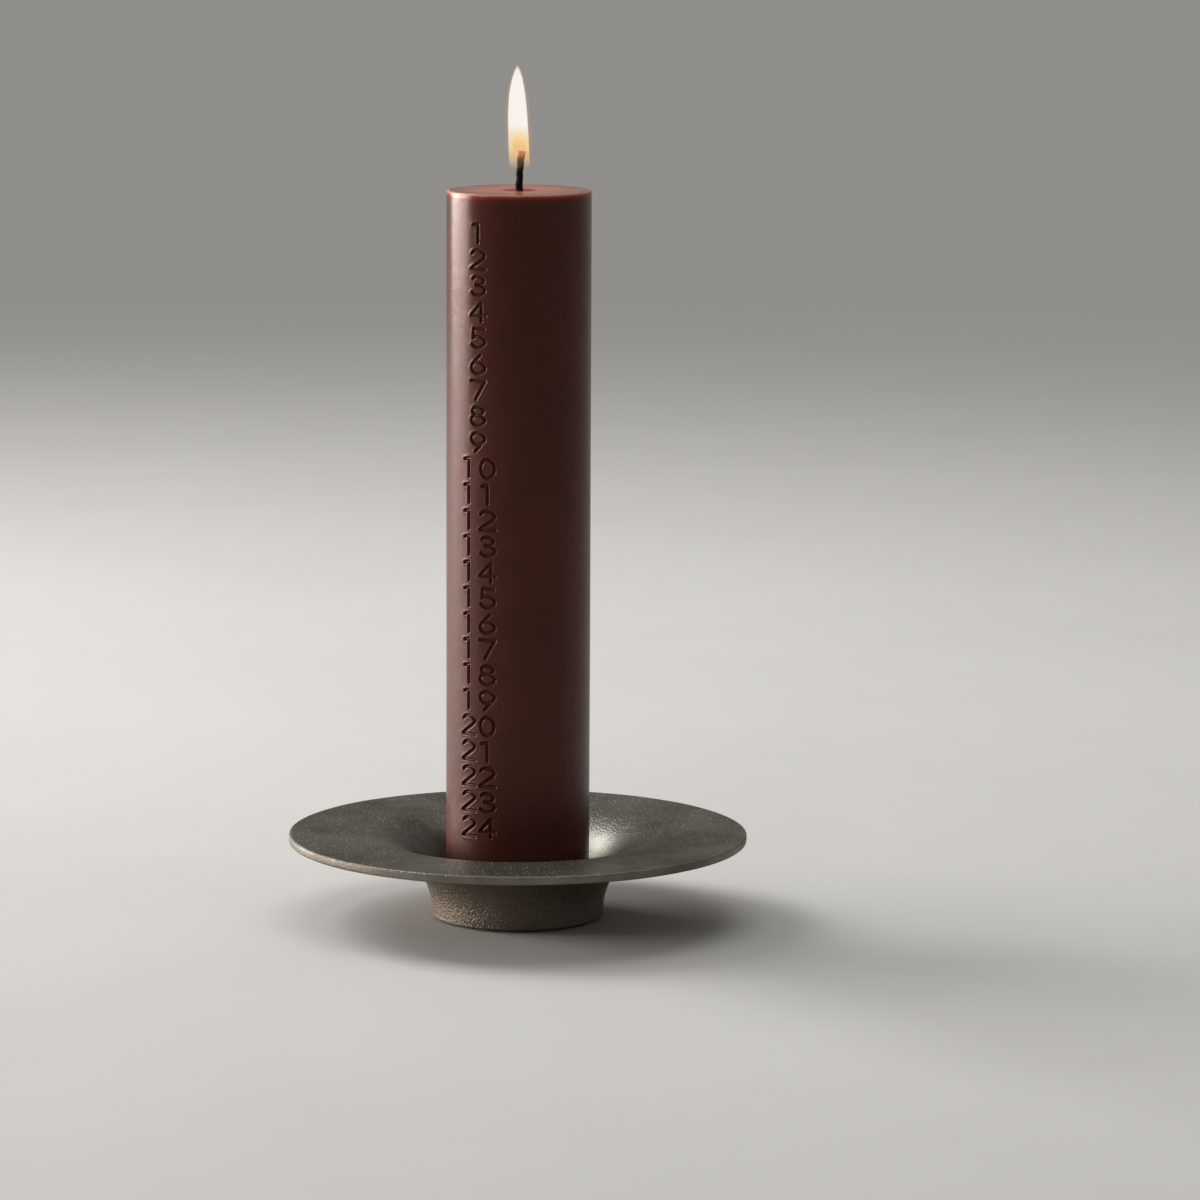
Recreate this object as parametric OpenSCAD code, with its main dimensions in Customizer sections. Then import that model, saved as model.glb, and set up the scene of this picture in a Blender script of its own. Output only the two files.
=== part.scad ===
// Calendar candle: a pillar of wax with the days of a month's countdown cut down its front,
// standing loose in the well of a cast dish holder.
// The resting face is at z = 0 and the numerals face -Y.

/* [Candle] */
// Diameter of the wax pillar
candle_d = 50; // [42:0.5:58]
// Height of the wax pillar
candle_h = 250; // [228:1:320]
// Radius of the pillar's top edge
top_edge_r = 0.7; // [0.2:0.1:2]
// Radius of the pillar's bottom edge
bottom_edge_r = 1; // [0.2:0.1:2]

/* [Numerals] */
// Last day in the column
last_day = 24; // [12:1:26]
// Height of a numeral
numeral_h = 7.6; // [5:0.1:8.4]
// Width of the widest numeral
numeral_w = 7; // [5:0.1:8]
// Width of the cut stroke
stroke_w = 1.15; // [0.7:0.05:1.5]
// Depth of the cut below the wax surface
numeral_depth = 0.8; // [0.3:0.05:1.4]
// Clear width between the tens and the units
column_gap = 0.7; // [0.2:0.1:3]
// From the top of the wax to the top of the first numeral
first_row_drop = 9.5; // [4:0.5:14]
// From the bottom of the wax to the foot of the last numeral
last_row_rise = 27; // [18:0.5:32]

/* [Wick and clip] */
// Diameter of the wick
wick_d = 2; // [1.2:0.1:3]
// Length of burnt wick that stands above the wax
wick_rise = 13.4; // [6:0.2:18]
// How far the wick's tip leans to one side
wick_lean = 0.95; // [0.2:0.05:3]
// Direction of the lean, from the right-hand side
wick_lean_turn = 34; // [0:1:360]
// How much thicker the burnt end is all round
char_t = 0.1; // [0.05:0.05:0.4]
// Gap around the wick in the wax and in the clip's neck
wick_gap = 0.05; // [0.02:0.01:0.2]
// Diameter of the clip's foot
clip_d = 20; // [12:0.5:30]
// Thickness of the clip's tinplate
clip_t = 0.4; // [0.2:0.05:0.8]
// Height of the neck crimped round the wick
clip_neck_h = 6; // [3:0.5:12]
// Gap between the clip and the wax
clip_gap = 0.1; // [0.05:0.05:0.4]
// How far the clip's foot is sunk above the bottom of the wax
clip_inset = 0.3; // [0.1:0.05:1]

/* [Melt pool and flame] */
// Diameter of the hollow that the flame has melted
pool_d = 11.4; // [6:0.2:20]
// Depth of the hollow
pool_depth = 1.2; // [0.6:0.1:2.4]
// From the top of the wax down to the liquid
pool_drop = 0.35; // [0.1:0.05:0.5]
// Widest part of the flame
flame_d = 7.1; // [5:0.1:12]
// Height of the flame
flame_h = 36.9; // [24:0.1:60]
// From the top of the wax to the lowest part of the flame
flame_start = 6; // [2:0.2:10]
// Height of the rounded lower end of the flame
flame_cup_h = 3; // [1:0.5:6]
// Gap between the flame and the wick inside it
flame_gap = 0.15; // [0.05:0.05:0.5]

/* [Holder] */
// Outer diameter of the dish
holder_d = 160; // [140:1:200]
// Height of the rim above the table
holder_h = 30; // [26:0.5:40]
// Thickness of the cast wall
wall_t = 3; // [2:0.1:4]
// Thickness of the well's floor under the candle
floor_t = 2.5; // [2:0.1:4]
// Gap between the candle and the well at its floor
well_gap = 2; // [0.6:0.1:4]
// Radius that turns the well out into the dish
flare_r = 27; // [20:0.5:30]
// Rise of the dish towards its rim, in degrees
dish_rise = 1.5; // [0:0.1:4]
// Radius of the rim's two edges
rim_edge_r = 0.8; // [0.3:0.1:1]
// Radius of the foot's outer edge
foot_edge_r = 1; // [0.3:0.1:1.5]
// Radius in the corner of the well's floor
floor_corner_r = 1.2; // [0.4:0.1:2]
// Width of the metal ring round the felt
foot_ring_w = 4; // [3:0.1:8]

/* [Felt] */
// Thickness of the felt
felt_t = 2; // [1.2:0.1:3]
// How far the felt stands out below the metal
felt_proud = 0.5; // [0.2:0.1:1]
// Gap between the felt and the metal ring
felt_gap = 0.4; // [0.1:0.1:1]

/* [Hidden] */

// Round shapes that stay true curves need no more than this
$fn = 96;
// Steps in a profile's large curve, in its small rounds and in a numeral's full ring
curve_steps = 30;
round_steps = 6;
ring_steps = 24;
// Cutting tools run this far past the surface that they cut
overrun = 1;
// Profile points closer than this are one point
same_point = 0.001;
// The flame narrows slowly and then fast: the powers of its height and of what is left
flame_shoulder = 4;
flame_point = 0.65;

candle_r = candle_d/2;
wick_r = wick_d/2;

// The holder's levels, from the table up
seat_z = felt_t + floor_t;
wax_top = seat_z + candle_h;

// The flare's curve turns about this centre, inside and outside the wall alike
throat_r = candle_r + well_gap;
rim_r = holder_d/2;
flare_x = throat_r + flare_r;
flare_z = holder_h - (rim_r - flare_x + flare_r*sin(dish_rise))*tan(dish_rise)
    - flare_r*cos(dish_rise);
under_r = flare_r - wall_t;

// Where the corner of the well's floor runs into the flare
corner_up = seat_z + floor_corner_r - flare_z;
corner_turn = corner_up > 0 ? asin(corner_up/(flare_r + floor_corner_r)) : 0;
corner_x = flare_x - (flare_r + floor_corner_r)*cos(corner_turn);

// Where the underside of the flare runs into the foot
foot_up = felt_proud + foot_edge_r - flare_z;
foot_turn = foot_up > 0 ? asin(foot_up/under_r) : 0;
foot_r = flare_x - under_r*cos(foot_turn);
recess_r = foot_r - foot_ring_w;

// The hollow round the wick is the end of a ball of this radius
pool_r = pool_d/2;
pool_ball_r = (pow(pool_r, 2) + pow(pool_depth, 2))/(2*pool_depth);
pool_z = wax_top - pool_drop;

// The burnt wick is an arc that starts upright where the liquid ends
bend_h = wick_rise + pool_drop;
bend_r = (pow(bend_h, 2) + pow(wick_lean, 2))/(2*wick_lean);
bend_turn = asin(bend_h/bend_r);

// The middle of a stroke moves inside a box this wide to each side and this high
half_stroke = stroke_w/2;
glyph_x = (numeral_w - stroke_w)/2;
glyph_y = numeral_h - stroke_w;
row_pitch = (candle_h - first_row_drop - last_row_rise - numeral_h)/(last_day - 1);
column_turn = (numeral_w + column_gap)/candle_r*180/PI;

function unit(v) = v/norm(v);

function arc(centre, r, from, to, steps) =
    [for (i = [0:steps]) let (a = from + (to - from)*i/steps) centre + r*[cos(a), sin(a)]];

// The round of radius r that replaces corner b between a and c
function rounded(a, b, c, r) =
    let (u = unit(a - b))
    let (v = unit(c - b))
    let (half = acos(u*v)/2)
    let (centre = b + unit(u + v)*r/sin(half))
    let (start = b + u*r/tan(half) - centre)
    let (end = b + v*r/tan(half) - centre)
    let (from = atan2(start[1], start[0]))
    let (turn = atan2(start[0]*end[1] - start[1]*end[0], start*end))
    arc(centre, r, from, from + turn, round_steps);

// The points of an outline without those that fall on the next one
function distinct(points) =
    [for (i = [0:len(points) - 1]) if (norm(points[i] - points[(i + 1)%len(points)]) > same_point) points[i]];

module turned(profile) {
    rotate_extrude() polygon(distinct(profile));
}

// A point of a numeral: x from -1 to 1 across it, y from 0 at its foot to 1 at its head
function at(x, y) = [x*glyph_x, half_stroke + y*glyph_y];

// Part of an oval round the point x, y, from one angle to another
function bow(x, y, rx, ry, from, to) =
    let (steps = ceil(abs(to - from)/360*ring_steps))
    [for (i = [0:steps]) let (a = from + (to - from)*i/steps) at(x + rx*cos(a), y + ry*sin(a))];

// The end b of a stroke from a, drawn out by half the stroke's width
function past(a, b) = b + half_stroke*unit(b - a);

function bar(a, b) = [past(b, a), past(a, b)];

// The strokes of the numerals 0 to 9 that have two ends
open_strokes = [
    [],
    [bar(at(0, 0), at(0, 1)), [at(-0.72, 0.93), at(0, 1)]],
    [concat(bow(0, 0.73, 0.92, 0.27, 160, -42), [at(-1, 0)]), bar(at(-1, 0), at(1, 0))],
    [concat(bow(0, 0.77, 0.8, 0.23, 155, -90), [at(-0.3, 0.54)]), bow(0, 0.27, 0.95, 0.27, 100, -155)],
    [bar(at(0.45, 0), at(0.45, 1)), [at(0.45, 1), at(-1, 0.3)], bar(at(-1, 0.3), at(1, 0.3))],
    [bar(at(-0.6, 1), at(0.85, 1)), [at(-0.6, 1), at(-0.7, 0.5)], bow(0, 0.3, 0.95, 0.3, 138, -155)],
    [[at(-0.78, 0.49), past(at(-0.78, 0.49), at(0.35, 1))]],
    [bar(at(-1, 1), at(1, 1)), [at(1, 1), past(at(1, 1), at(-0.3, 0))]],
    [],
    [[at(0.78, 0.51), past(at(0.78, 0.51), at(-0.35, 0))]]
];

// The strokes of the numerals 0 to 9 that are closed ovals
closed_strokes = [
    [bow(0, 0.5, 0.9, 0.5, 0, 360)],
    [],
    [],
    [],
    [],
    [],
    [bow(0, 0.31, 0.95, 0.31, 0, 360)],
    [],
    [bow(0, 0.28, 0.95, 0.28, 0, 360), bow(0, 0.77, 0.78, 0.23, 0, 360)],
    [bow(0, 0.69, 0.95, 0.31, 0, 360)]
];

// The way that a path heads at its point i
function heading(path, i, closed) =
    let (n = len(path))
    let (before = i > 0 || closed ? unit(path[i] - path[(i + n - 1)%n]) : unit(path[1] - path[0]))
    let (after = i < n - 1 || closed ? unit(path[(i + 1)%n] - path[i]) : unit(path[n - 1] - path[n - 2]))
    unit(before + after);

// The edge of a stroke, to the left of its path for side 1 and to the right for side -1
function edge(path, side, closed) =
    [for (i = [0:len(path) - 1])
        let (u = heading(path, i, closed))
        path[i] + side*half_stroke*[-u[1], u[0]]];

function reverse(list) = [for (i = [len(list) - 1:-1:0]) list[i]];

module open_stroke(path) {
    polygon(concat(edge(path, 1, false), reverse(edge(path, -1, false))));
}

module closed_stroke(path) {
    points = distinct(path);
    n = len(points);
    inner = edge(points, 1, true);
    outer = edge(points, -1, true);
    polygon(concat(outer, inner), [[for (i = [0:n - 1]) i], [for (i = [n:2*n - 1]) i]]);
}

module numeral(n) {
    for (path = open_strokes[n]) open_stroke(path);
    for (path = closed_strokes[n]) closed_stroke(path);
}

// One numeral as a cutter that points out of the pillar, turned to its column
module numeral_cutter(n, turn) {
    inside = candle_r - numeral_depth - overrun;
    rotate([0, 0, turn])
        rotate([90, 0, 0])
            translate([0, 0, inside])
                linear_extrude(candle_r + overrun - inside) numeral(n);
}

module day_cutter(day) {
    if (day < 10) {
        numeral_cutter(day, 0);
    } else {
        numeral_cutter(floor(day/10), -column_turn/2);
        numeral_cutter(day%10, column_turn/2);
    }
}

// All the days, as deep as the cut everywhere, because a core keeps the cutters out
module day_column() {
    first_foot = wax_top - first_row_drop - numeral_h;
    difference() {
        for (day = [1:last_day])
            translate([0, 0, first_foot - (day - 1)*row_pitch]) day_cutter(day);
        translate([0, 0, seat_z]) cylinder(r = candle_r - numeral_depth, h = candle_h);
    }
}

// The hollow that the flame has melted, open at the top
module pool_hollow() {
    low = wax_top - pool_depth;
    high = wax_top + overrun;
    turned(concat(
        arc([0, low + pool_ball_r], pool_ball_r, -90, asin(pool_r/pool_ball_r) - 90, round_steps),
        [[pool_r, high], [0, high]]
    ));
}

module clip_seat() {
    seat_h = clip_inset + clip_t + clip_gap;
    neck_h = clip_inset + clip_neck_h + clip_gap;
    translate([0, 0, seat_z - overrun]) cylinder(d = clip_d + 2*clip_gap, h = seat_h + overrun);
    translate([0, 0, seat_z]) cylinder(r = wick_r + wick_gap + clip_t + clip_gap, h = neck_h);
}

module wax_pillar() {
    foot = [candle_r, seat_z];
    head = [candle_r, wax_top];
    bottom = [0, seat_z];
    top = [0, wax_top];
    color([0.36, 0.19, 0.16])
        difference() {
            turned(concat(
                [bottom],
                rounded(bottom, foot, head, bottom_edge_r),
                rounded(foot, head, top, top_edge_r),
                [top]
            ));
            cylinder(r = wick_r + wick_gap, h = wax_top + overrun);
            clip_seat();
            pool_hollow();
            day_column();
        }
}

// The burnt end of the wick, thicker where it cuts its own room in the flame
module wick_end(room = 0) {
    rotate([0, 0, wick_lean_turn])
        translate([bend_r, 0, pool_z])
            rotate([90, 0, 180])
                rotate_extrude(angle = bend_turn)
                    translate([bend_r, 0]) circle(r = wick_r + char_t + room);
}

module wick() {
    wick_foot = seat_z + clip_inset;
    color([0.1, 0.085, 0.08]) {
        translate([0, 0, wick_foot]) cylinder(r = wick_r, h = wax_top - wick_foot);
        wick_end();
    }
}

module wick_clip() {
    bore_r = wick_r + wick_gap;
    neck_r = bore_r + clip_t;
    color([0.72, 0.72, 0.7])
        translate([0, 0, seat_z + clip_inset])
            turned([
                [bore_r, 0],
                [clip_d/2, 0],
                [clip_d/2, clip_t],
                [neck_r, clip_t],
                [neck_r, clip_neck_h],
                [bore_r, clip_neck_h]
            ]);
}

module melt_pool() {
    color([0.42, 0.08, 0.05])
        difference() {
            intersection() {
                pool_hollow();
                cylinder(r = pool_r, h = pool_z);
            }
            cylinder(r = wick_r + wick_gap, h = wax_top);
        }
}

// Half the flame's width at a height u, from 0 at its widest to 1 at its tip
function flame_r(u) = flame_d/2*pow(1 - pow(u, flame_shoulder), flame_point);

module flame() {
    cup = [for (i = [0:round_steps])
        let (a = 90*i/round_steps)
        [flame_d/2*sin(a), flame_cup_h*(1 - cos(a))]];
    tongue = [for (i = [0:curve_steps])
        let (u = sin(90*i/curve_steps))
        [flame_r(u), flame_cup_h + u*(flame_h - flame_cup_h)]];
    color([1, 0.8, 0.45])
        difference() {
            translate([0, 0, wax_top + flame_start]) turned(concat(cup, tongue));
            wick_end(flame_gap);
        }
}

module holder_casting() {
    rim_top = [rim_r, holder_h];
    rim_foot = [rim_r, holder_h - wall_t/cos(dish_rise)];
    dish_start = [flare_x, flare_z] + flare_r*[-sin(dish_rise), cos(dish_rise)];
    under_start = [flare_x, flare_z] + under_r*[-sin(dish_rise), cos(dish_rise)];
    color([0.4, 0.4, 0.37])
        turned(concat(
            [[0, seat_z]],
            arc([corner_x, seat_z + floor_corner_r], floor_corner_r, -90, -corner_turn, round_steps),
            arc([flare_x, flare_z], flare_r, 180 - corner_turn, 90 + dish_rise, curve_steps),
            rounded(dish_start, rim_top, rim_foot, rim_edge_r),
            rounded(rim_top, rim_foot, under_start, rim_edge_r),
            arc([flare_x, flare_z], under_r, 90 + dish_rise, 180 - foot_turn, curve_steps),
            arc([foot_r - foot_edge_r, felt_proud + foot_edge_r], foot_edge_r, 0, -90, round_steps),
            [[recess_r, felt_proud], [recess_r, felt_t], [0, felt_t]]
        ));
}

module felt_pad() {
    color([0.07, 0.07, 0.07]) cylinder(r = recess_r - felt_gap, h = felt_t);
}

holder_casting();
felt_pad();
wax_pillar();
wick();
wick_clip();
melt_pool();
flame();
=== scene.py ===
import math

import bmesh
import bpy
import numpy as np
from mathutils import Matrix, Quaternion, Vector, noise


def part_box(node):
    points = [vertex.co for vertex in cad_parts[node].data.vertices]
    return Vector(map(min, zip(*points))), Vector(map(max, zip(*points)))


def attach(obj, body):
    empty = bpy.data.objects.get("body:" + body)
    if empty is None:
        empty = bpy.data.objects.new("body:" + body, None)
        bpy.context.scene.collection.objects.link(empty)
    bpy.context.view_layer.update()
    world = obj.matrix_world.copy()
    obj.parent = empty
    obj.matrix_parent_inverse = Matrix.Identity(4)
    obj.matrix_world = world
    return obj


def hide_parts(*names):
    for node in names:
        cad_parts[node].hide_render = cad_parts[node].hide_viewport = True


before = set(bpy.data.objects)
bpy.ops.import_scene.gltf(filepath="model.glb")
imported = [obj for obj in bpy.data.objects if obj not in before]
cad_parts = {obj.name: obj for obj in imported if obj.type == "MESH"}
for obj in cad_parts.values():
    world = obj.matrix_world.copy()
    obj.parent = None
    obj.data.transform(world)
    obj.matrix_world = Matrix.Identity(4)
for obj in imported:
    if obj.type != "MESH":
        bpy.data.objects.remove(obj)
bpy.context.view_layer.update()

mmToM = 0.001
hair = 0.001            # mm, points closer than this are one
slack = 0.01            # mm, room for rounding where a height or a radius is asked for
print("frame loaded:", ", ".join(sorted(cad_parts)))


def levels(node):
    # height of the lowest and highest point of a CAD node, in mm
    low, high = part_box(node)
    return low.z / mmToM, high.z / mmToM


waxFoot, waxTop = levels("wax_pillar")
flameFoot, flameTip = levels("flame")
dishTop = levels("holder_casting")[1]


# colours and nodes

def paint(red, green, blue):
    # a screen colour, 0 to 255, as the linear colour that sockets take
    def linear(part):
        share = part / 255
        return share / 12.92 if share <= 0.04045 else ((share + 0.055) / 1.055) ** 2.4
    return (linear(red), linear(green), linear(blue), 1.0)


def feed(tree, node, inputs):
    # an input takes a value or another node's socket
    for name, value in inputs.items():
        if isinstance(value, bpy.types.NodeSocket):
            tree.links.new(value, node.inputs[name])
        else:
            node.inputs[name].default_value = value


def put(tree, kind, inputs=None, **settings):
    # one node with its settings
    node = tree.nodes.new(kind)
    for name, value in settings.items():
        setattr(node, name, value)
    feed(tree, node, inputs or {})
    return node


def calc(tree, operation, first, second=0.0, clamp=False):
    node = put(tree, "ShaderNodeMath", {0: first, 1: second}, operation=operation, use_clamp=clamp)
    return node.outputs[0]


def between(tree, value, start, end, low=0.0, high=1.0):
    # smooth step of a value: low before start, high after end
    node = put(tree, "ShaderNodeMapRange",
               {"Value": value, "From Min": start, "From Max": end, "To Min": low, "To Max": high},
               interpolation_type="SMOOTHSTEP")
    return node.outputs["Result"]


def raised(tree, value, mask, amount):
    # a value that is this much more where the mask is 1
    return calc(tree, "ADD", value, calc(tree, "MULTIPLY", mask, amount))


def blendColour(tree, share, first, second):
    return put(tree, "ShaderNodeMix", {0: share, 6: first, 7: second}, data_type="RGBA").outputs[2]


def tinted(tree, colour, mask, strength, other):
    # a colour that has turned to another by this share where the mask is 1
    return blendColour(tree, calc(tree, "MULTIPLY", mask, strength), colour, other)


def noisy(tree, place, detail, roughness=0.5, scale=1.0, distortion=0.0):
    return put(tree, "ShaderNodeTexNoise",
               {"Vector": place, "Scale": scale, "Detail": detail, "Roughness": roughness,
                "Distortion": distortion}).outputs["Fac"]


def sized(tree, vector, size):
    # a place in metres as a place in patches of this many mm
    perMetre = calc(tree, "DIVIDE", 1 / mmToM, size)
    return put(tree, "ShaderNodeVectorMath", {0: vector, "Scale": perMetre}, operation="SCALE").outputs[0]


def lengthOf(tree, vector):
    return put(tree, "ShaderNodeVectorMath", {0: vector}, operation="LENGTH").outputs["Value"]


def reachOf(tree, across, up):
    # how far a step this much across and up goes
    return lengthOf(tree, put(tree, "ShaderNodeCombineXYZ", {"X": across, "Y": up}).outputs[0])


def heightOf(tree, vector):
    return put(tree, "ShaderNodeSeparateXYZ", {0: vector}).outputs["Z"]


def newGroup(name, inputs, outputs):
    # an empty shader group with its sockets: name -> socket kind
    group = bpy.data.node_groups.new(name, "ShaderNodeTree")
    for side, sockets in (("INPUT", inputs), ("OUTPUT", outputs)):
        for socketName, kind in sockets.items():
            group.interface.new_socket(name=socketName, in_out=side, socket_type="NodeSocket" + kind)
    return group, group.nodes.new("NodeGroupInput").outputs, group.nodes.new("NodeGroupOutput")


def useGroup(tree, group, place, settings):
    # a group on a piece's own coordinates; the settings are named as its sockets
    return put(tree, "ShaderNodeGroup", {"Vector": place, **settings}, node_tree=group).outputs


# the shared patterns: edges are where a noise begins to show and where it is full
patterns = {
    "cloudEdges": (0.32, 0.68),
    "cloudDetail": 5.0,
    "cloudRoughness": 0.62,
    "fleckEdges": (0.55, 0.75),
    "fleckRoughness": 0.7,
    "lumpRoughness": 0.55,
    "pitEdges": (0.56, 0.7),
    "pitFineness": 1.9,     # times finer than the lumps
    "pitDistortion": 0.3,
    "wander": 0.35,         # waves per mm of a ragged ring
    "pickedEdge": 0.12,
    "spotEdges": (0.5, 0.25),
}


def makeMottle():
    # cloudy change between two colours, with small flecks of a third
    group, given, result = newGroup(
        "mottle",
        {"Vector": "Vector", "Size": "Float", "Low": "Color", "High": "Color",
         "Fleck": "Color", "Fleck Size": "Float", "Fleck Share": "Float"},
        {"Colour": "Color", "Cloud": "Float"})
    clouds = noisy(group, sized(group, given["Vector"], given["Size"]), patterns["cloudDetail"],
                   patterns["cloudRoughness"])
    share = between(group, clouds, *patterns["cloudEdges"])
    flecks = noisy(group, sized(group, given["Vector"], given["Fleck Size"]), 3.0,
                   patterns["fleckRoughness"])
    fleckShare = calc(group, "MULTIPLY", between(group, flecks, *patterns["fleckEdges"]),
                      given["Fleck Share"], clamp=True)
    colour = blendColour(group, share, given["Low"], given["High"])
    colour = blendColour(group, fleckShare, colour, given["Fleck"])
    feed(group, result, {"Colour": colour, "Cloud": share})
    return group


def makeGrain():
    # a rough skin: rounded lumps with smaller pits between them
    group, given, result = newGroup(
        "grain",
        {"Vector": "Vector", "Size": "Float", "Soft": "Float", "Pits": "Float"},
        {"Height": "Float", "Pit": "Float"})
    place = sized(group, given["Vector"], given["Size"])
    lumps = noisy(group, place, 3.0, patterns["lumpRoughness"])
    holes = noisy(group, place, 2.0, scale=patterns["pitFineness"], distortion=patterns["pitDistortion"])
    pit = between(group, holes, *patterns["pitEdges"])
    lump = between(group, lumps, calc(group, "SUBTRACT", 0.5, given["Soft"]),
                   calc(group, "ADD", 0.5, given["Soft"]))
    height = calc(group, "SUBTRACT", lump, calc(group, "MULTIPLY", pit, given["Pits"]))
    feed(group, result, {"Height": height, "Pit": pit})
    return group


def makeRing():
    # 1 on a circle round the object's axis, fading out to Width mm from it on all sides
    group, given, result = newGroup(
        "ring",
        {"Vector": "Vector", "Radius": "Float", "Level": "Float", "Width": "Float", "Ragged": "Float"},
        {"Mask": "Float"})
    place = sized(group, given["Vector"], 1.0)
    parts = put(group, "ShaderNodeSeparateXYZ", {0: place}).outputs
    radius = reachOf(group, parts["X"], parts["Y"])
    away = reachOf(group, calc(group, "SUBTRACT", radius, given["Radius"]),
                   calc(group, "SUBTRACT", parts["Z"], given["Level"]))
    wander = calc(group, "SUBTRACT", noisy(group, place, 4.0, scale=patterns["wander"]), 0.5)
    away = raised(group, away, wander, given["Ragged"])
    mask = calc(group, "SUBTRACT", 1.0, calc(group, "DIVIDE", away, given["Width"]), clamp=True)
    feed(group, result, {"Mask": mask})
    return group


def makeGrit():
    # small rounded grains, and a scattering of them picked out
    group, given, result = newGroup(
        "grit",
        {"Vector": "Vector", "Size": "Float", "Share": "Float"},
        {"Height": "Float", "Glint": "Float"})
    cells = put(group, "ShaderNodeTexVoronoi",
                {"Vector": sized(group, given["Vector"], given["Size"]), "Scale": 1.0}).outputs
    dice = put(group, "ShaderNodeSeparateColor", {0: cells["Color"]}).outputs
    few = calc(group, "SUBTRACT", 1.0, given["Share"])
    picked = between(group, dice[0], few, calc(group, "ADD", few, patterns["pickedEdge"]))
    spot = between(group, cells["Distance"], *patterns["spotEdges"])
    glint = calc(group, "MULTIPLY", calc(group, "MULTIPLY", picked, spot), dice[1])
    height = calc(group, "SUBTRACT", 1.0, cells["Distance"], clamp=True)
    feed(group, result, {"Height": height, "Glint": glint})
    return group


mottle, grain, ring, grit = makeMottle(), makeGrain(), makeRing(), makeGrit()


def newMaterial(name):
    # a material with its Principled shader and the Object coordinates of the piece
    material = bpy.data.materials.new(name)
    material.use_nodes = True
    tree = material.node_tree
    tree.nodes.clear()
    shader = put(tree, "ShaderNodeBsdfPrincipled")
    put(tree, "ShaderNodeOutputMaterial", {"Surface": shader.outputs[0]})
    return material, tree, shader, put(tree, "ShaderNodeTexCoord").outputs["Object"]


def addBump(tree, shader, height, depth, under=None):
    # height 0 to 1 as a relief of this many mm, over another relief where one is given
    bump = put(tree, "ShaderNodeBump", {"Height": height, "Distance": depth * mmToM, "Strength": 1.0})
    if under is not None:
        feed(tree, bump, {"Normal": under})
    feed(tree, shader, {"Normal": bump.outputs["Normal"]})
    return bump.outputs["Normal"]


def heightInMm(tree, place):
    # an Object coordinate's height above the floor
    return calc(tree, "DIVIDE", heightOf(tree, place), mmToM)


# mesh helpers: everything is drawn in mm and scaled to metres at the end

def drawOutline(start, moves):
    # a wire in the XZ plane, drawn like a pen line
    # (x, z, parts) runs straight to x, z; (x, z, degrees, parts) turns about x, z
    bm = bmesh.new()
    tip = bm.verts.new((start[0], 0, start[1]))
    for move in moves:
        if len(move) == 3:
            x, z, parts = move
            step = (Vector((x, 0, z)) - tip.co) / parts
            for _ in range(parts):
                drawn = bmesh.ops.extrude_vert_indiv(bm, verts=[tip])
                before, tip = tip, drawn["verts"][0]
                tip.co = before.co + step
        else:
            x, z, degrees, parts = move
            turned = bmesh.ops.spin(bm, geom=[tip], cent=(x, 0, z), axis=(0, -1, 0),
                                    angle=math.radians(degrees), steps=parts)
            tip = [part for part in turned["geom_last"] if isinstance(part, bmesh.types.BMVert)][0]
    return bm


def turnOutline(bm, steps):
    # a full turn round the upright axis, with seam and poles closed
    bmesh.ops.remove_doubles(bm, verts=bm.verts[:], dist=hair)
    bmesh.ops.spin(bm, geom=bm.verts[:] + bm.edges[:], cent=(0, 0, 0), axis=(0, 0, 1),
                   angle=math.tau, steps=steps, use_merge=True)
    bmesh.ops.remove_doubles(bm, verts=bm.verts[:], dist=hair)
    bmesh.ops.dissolve_degenerate(bm, edges=bm.edges[:], dist=hair / 10)
    bmesh.ops.recalc_face_normals(bm, faces=bm.faces[:])


def addObject(name, data):
    thing = bpy.data.objects.new(name, data)
    bpy.context.scene.collection.objects.link(thing)
    return thing


def finishPiece(bm, name, material, body, node):
    bmesh.ops.scale(bm, vec=(mmToM, mmToM, mmToM), verts=bm.verts[:])
    for face in bm.faces:
        face.smooth = True
    mesh = bpy.data.meshes.new(name)
    bm.to_mesh(mesh)
    bm.free()
    piece = addObject(name, mesh)
    mesh.materials.append(material)
    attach(piece, body)
    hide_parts(node)
    mesh.calc_loop_triangles()
    print(name, len(mesh.loop_triangles), "triangles")
    return piece


def sharpen(piece, degrees):
    # edges that turn more than this stay crisp
    piece.data.set_sharp_from_angle(angle=math.radians(degrees))


# cast holder

holder = {
    "radius": 80.0,
    "throatRadius": 27.0,
    "flareRadius": 27.0,
    "wall": 3.0,
    "rise": 1.5,            # degrees from the flare to the rim
    "floorHeight": 4.5,
    "cornerRadius": 1.2,
    "rimRound": 0.8,
    "footRound": 1.0,
    "footBottom": 0.5,
    "recessRadius": 26.0,
    "recessTop": 2.0,
    "turnSteps": 256,
    "unevenness": 0.07,     # mm, slow waves of the casting
    "waveLength": 26.0,
    "lumps": 0.02,          # mm, smaller ones
    "lumpLength": 4.5,
    "flatBand": 0.1,        # mm of the foot's lower edge that stay flat
    "crispEdge": 50.0,      # degrees
    "darkMetal": paint(74, 66, 59),
    "paleMetal": paint(140, 137, 131),
    "greenMetal": paint(108, 112, 101),
    "footMetal": paint(130, 116, 103),
    "wornMetal": paint(164, 155, 143),
    "shadedMetal": paint(42, 35, 29),
    # paler colour painted on a few grains as glints
    "paintedGlint": paint(184, 180, 171),
}

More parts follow.
